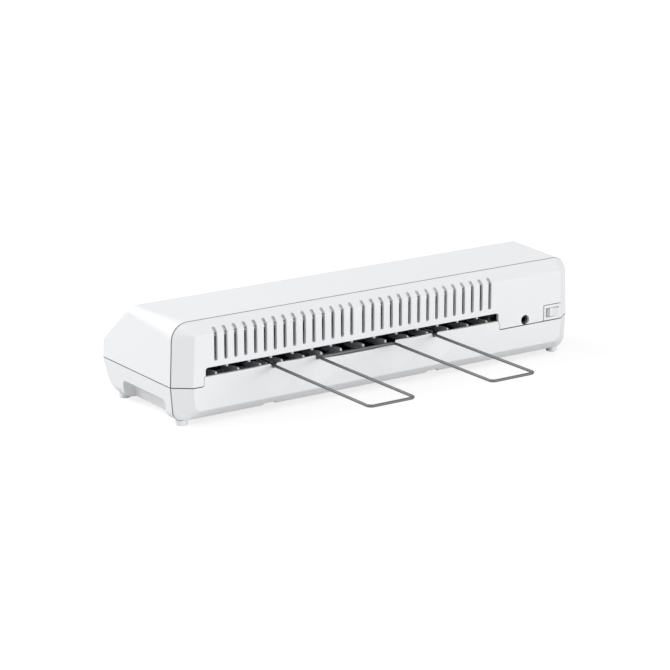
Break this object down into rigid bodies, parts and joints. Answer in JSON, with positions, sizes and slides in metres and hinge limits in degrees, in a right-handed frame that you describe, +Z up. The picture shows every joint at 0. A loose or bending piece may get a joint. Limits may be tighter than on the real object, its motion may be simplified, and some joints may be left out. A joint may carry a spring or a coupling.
{
  "type": "pouch laminator",
  "caption": "Low white desktop pouch laminator with a feed slot in front, a vented rear with an exit slot, a plug-in wire exit rack, a rocker switch and hand recesses in both ends.",
  "frame": {"origin": "on the table top under the middle of the machine and its exit rack together", "axes": "+Z up, +X to the right-hand end seen from the feed side, +Y out of the rear along the exit rack"},
  "size_m": [0.33, 0.2084, 0.07],
  "materials": {
    "white_plastic": "fine moulded satin, slightly cool white",
    "grey_plastic": "satin grey",
    "slate_plastic": "slate grey, heat-resistant, satin",
    "black_plastic": "black, satin",
    "gear_plastic": "natural acetal, waxy",
    "steel": "zinc-plated sheet and bright shafts",
    "rack_wire": "dark drawn wire",
    "aluminium": "mill finish",
    "silicone": "matt charcoal silicone rubber",
    "circuit_board": "green solder mask",
    "brass": "sintered bronze",
    "red_lens": "clear red, glossy",
    "green_lens": "clear green, glossy"
  },
  "bodies": {
    "machine": {"base_tray": "white_plastic", "control_board": "circuit_board", "cord_gland": "black_plastic", "drive_motor": "steel", "exit_guide_lower": "slate_plastic", "exit_guide_upper": "slate_plastic", "exit_panel": "white_plastic", "feed_guide_lower": "slate_plastic", "feed_guide_upper": "slate_plastic", "foot_front_left": "white_plastic", "foot_front_right": "white_plastic", "foot_rear_left": "white_plastic", "foot_rear_right": "white_plastic", "frame_plate_left": "steel", "frame_plate_right": "steel", "heat_shield": "aluminium", "hot_spring_left": "steel", "hot_spring_right": "steel", "lamp_board": "circuit_board", "lower_heater_shoe": "aluminium", "lower_hot_bush_left": "brass", "lower_hot_bush_right": "brass", "lower_pull_bush_left": "brass", "lower_pull_bush_right": "brass", "motor_bracket": "steel", "power_lamp": "red_lens", "pull_spring_left": "steel", "pull_spring_right": "steel", "ready_lamp": "green_lens", "rear_grille": "white_plastic", "switch_body": "white_plastic", "tie_bar_front": "steel", "tie_bar_rear": "steel", "tie_bar_top": "steel", "upper_cover": "white_plastic"},
    "lower_hot_roller": {"lower_hot_shaft": "steel", "lower_hot_sleeve": "silicone", "lower_hot_gear": "gear_plastic"},
    "hot_carriage": {"upper_hot_bush_left": "brass", "upper_hot_bush_right": "brass", "upper_heater_shoe": "aluminium", "thermostat": "black_plastic"},
    "upper_hot_roller": {"upper_hot_shaft": "steel", "upper_hot_sleeve": "silicone", "upper_hot_gear": "gear_plastic"},
    "lower_pull_roller": {"lower_pull_shaft": "steel", "lower_pull_sleeve": "silicone", "lower_pull_gear": "gear_plastic"},
    "pull_carriage": {"upper_pull_bush_left": "brass", "upper_pull_bush_right": "brass"},
    "upper_pull_roller": {"upper_pull_shaft": "steel", "upper_pull_sleeve": "silicone", "upper_pull_gear": "gear_plastic"},
    "idler": {"idler_gear": "gear_plastic"},
    "pinion": {"motor_pinion": "brass"},
    "mode_key": {"mode_button": "grey_plastic"},
    "reverse_key": {"reverse_button": "grey_plastic"},
    "rocker": {"switch_rocker": "white_plastic"},
    "rack": {"exit_rack": "rack_wire"}
  },
  "joints": [
    {"name": "lower_hot_turn", "type": "hinge", "parent": "machine", "child": "lower_hot_roller", "pos_m": [0, -0.0672, 0.0278], "axis": [1, 0, 0], "continuous": true},
    {"name": "hot_float", "type": "slide", "parent": "machine", "child": "hot_carriage", "axis": [0, 0, 1], "range_m": [0, 0.0008], "stiffness_N_per_m": 5000, "springref_m": -0.004, "deforming": ["hot_spring_left", "hot_spring_right"]},
    {"name": "upper_hot_turn", "type": "hinge", "parent": "hot_carriage", "child": "upper_hot_roller", "pos_m": [0, -0.0672, 0.0462], "axis": [1, 0, 0], "continuous": true},
    {"name": "lower_pull_turn", "type": "hinge", "parent": "machine", "child": "lower_pull_roller", "pos_m": [0, -0.0412, 0.0278], "axis": [1, 0, 0], "continuous": true},
    {"name": "pull_float", "type": "slide", "parent": "machine", "child": "pull_carriage", "axis": [0, 0, 1], "range_m": [0, 0.0008], "stiffness_N_per_m": 5000, "springref_m": -0.004, "deforming": ["pull_spring_left", "pull_spring_right"]},
    {"name": "upper_pull_turn", "type": "hinge", "parent": "pull_carriage", "child": "upper_pull_roller", "pos_m": [0, -0.0412, 0.0462], "axis": [1, 0, 0], "continuous": true},
    {"name": "idler_turn", "type": "hinge", "parent": "machine", "child": "idler", "pos_m": [0, -0.0542, 0.01967], "axis": [1, 0, 0], "continuous": true},
    {"name": "pinion_turn", "type": "hinge", "parent": "machine", "child": "pinion", "pos_m": [0, -0.0802, 0.01967], "axis": [1, 0, 0], "continuous": true},
    {"name": "mode_press", "type": "slide", "parent": "machine", "child": "mode_key", "axis": [0, 0.6703, -0.7421], "range_m": [0, 0.0008], "stiffness_N_per_m": 800, "springref_m": -0.0005},
    {"name": "reverse_press", "type": "slide", "parent": "machine", "child": "reverse_key", "axis": [0, 0.6703, -0.7421], "range_m": [0, 0.0008], "stiffness_N_per_m": 800, "springref_m": -0.0005},
    {"name": "rocker_tilt", "type": "hinge", "parent": "machine", "child": "rocker", "pos_m": [-0.1445, -0.006, 0.0332], "axis": [0, 0, 1], "range_deg": [0, 18]},
    {"name": "rack_pull", "type": "slide", "parent": "machine", "child": "rack", "axis": [0, 1, 0], "range_m": [0, 0.01]}
  ],
  "couplings": [
    {"joint": "upper_hot_turn", "follows": "lower_hot_turn", "ratio": -1},
    {"joint": "lower_pull_turn", "follows": "lower_hot_turn", "ratio": 1},
    {"joint": "upper_pull_turn", "follows": "lower_hot_turn", "ratio": -1},
    {"joint": "idler_turn", "follows": "lower_hot_turn", "ratio": -1.5},
    {"joint": "pinion_turn", "follows": "lower_hot_turn", "ratio": -1.5}
  ]
}
